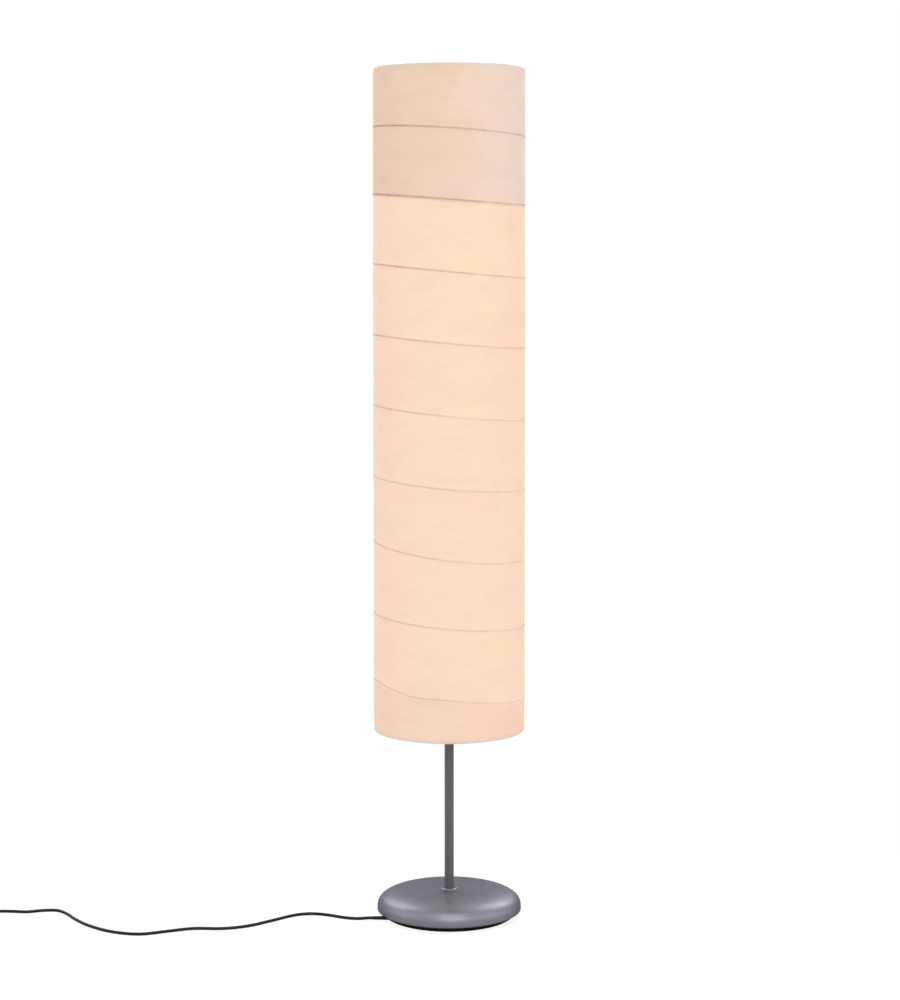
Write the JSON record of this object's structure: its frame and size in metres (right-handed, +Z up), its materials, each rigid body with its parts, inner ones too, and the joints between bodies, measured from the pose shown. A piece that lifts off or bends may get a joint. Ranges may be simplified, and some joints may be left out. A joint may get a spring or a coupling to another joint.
{
  "type": "floor lamp",
  "caption": "Slim floor lamp: a tall cylinder of pasted paper strips over wire hoops, hung on a steel stem that stands in a flat pebble-shaped base, with a foot switch on its cord.",
  "frame": {"origin": "on the floor under the middle of the stem", "axes": "+Z up along the stem, +X to the right of someone in front of the lamp, who looks along +Y"},
  "size_m": [0.961, 0.2242, 1.237],
  "materials": {
    "pad": "matt foam",
    "plate": "black satin",
    "screw": "zinc plated",
    "iron": "raw casting",
    "cover": "satin grey lacquer",
    "stem": "satin grey lacquer",
    "holder": "black moulded",
    "contact": "raw",
    "wire_sleeve": "white insulation",
    "terminal": "ivory moulded",
    "cord": "black satin sheath",
    "moulding": "black moulded",
    "pin": "nickel plated",
    "tie": "black band",
    "cap": "rolled",
    "globe": "opal",
    "wire": "tan lacquered wire",
    "nut": "knurled",
    "paper": "translucent handmade paper"
  },
  "bodies": {
    "stand": {"foot_pad": "pad", "base_plate": "plate", "plate_screws": "screw", "base_weight": "iron", "base_cover": "cover", "stem_washer": "screw", "stem_nut": "screw", "foot_collar": "cover", "stem_lower": "stem", "stem_middle": "stem", "stem_upper": "stem", "stem_couplers": "screw", "top_stud": "screw", "seat_washer": "screw", "arm_low": "stem", "arm_middle": "stem", "arm_high": "stem", "holder_low": "holder", "holder_middle": "holder", "holder_high": "holder", "holder_contacts": "contact", "collar_screws": "screw", "stem_wires": "wire_sleeve", "shade_guide": "stem", "terminal_block": "terminal", "inner_lead": "cord", "cord_clamp": "moulding", "clamp_screws": "screw", "cord_gland": "cord", "cord_run": "cord", "switch_base": "moulding", "switch_cover": "moulding", "switch_spring": "screw", "cord_link": "cord", "cord_coil": "cord", "coil_tie": "tie", "cord_tail": "cord", "plug_body": "moulding", "plug_pins": "pin"},
    "shade": {"top_frame": "wire", "low_rim": "wire", "wire_hoops": "wire", "paper_band_1": "paper", "paper_band_2": "paper", "paper_band_3": "paper", "paper_band_4": "paper", "paper_band_5": "paper", "paper_band_6": "paper", "paper_band_7": "paper", "paper_band_8": "paper", "paper_band_9": "paper", "paper_band_10": "paper"},
    "nut": {"shade_nut": "nut"},
    "bulb_low": {"bulb_cap_low": "cap", "bulb_globe_low": "globe"},
    "bulb_middle": {"bulb_cap_middle": "cap", "bulb_globe_middle": "globe"},
    "bulb_high": {"bulb_cap_high": "cap", "bulb_globe_high": "globe"},
    "button": {"switch_button": "moulding"}
  },
  "joints": [
    {"name": "shade_lift", "type": "slide", "parent": "stand", "child": "shade", "axis": [0, 0, 1], "range_m": [0, 0.97]},
    {"name": "nut_turn", "type": "hinge", "parent": "shade", "child": "nut", "pos_m": [0, 0, 1.21], "axis": [0, 0, 1], "continuous": true},
    {"name": "bulb_low_out", "type": "slide", "parent": "stand", "child": "bulb_low", "axis": [0, 0, 1], "range_m": [0, 0.03]},
    {"name": "bulb_middle_out", "type": "slide", "parent": "stand", "child": "bulb_middle", "axis": [0, 0, 1], "range_m": [0, 0.03]},
    {"name": "bulb_high_out", "type": "slide", "parent": "stand", "child": "bulb_high", "axis": [0, 0, 1], "range_m": [0, 0.03]},
    {"name": "button_press", "type": "slide", "parent": "stand", "child": "button", "axis": [0, 0, -1], "range_m": [0, 0.0025], "stiffness_N_per_m": 900, "springref_m": -0.001, "deforming": ["switch_spring"]}
  ]
}
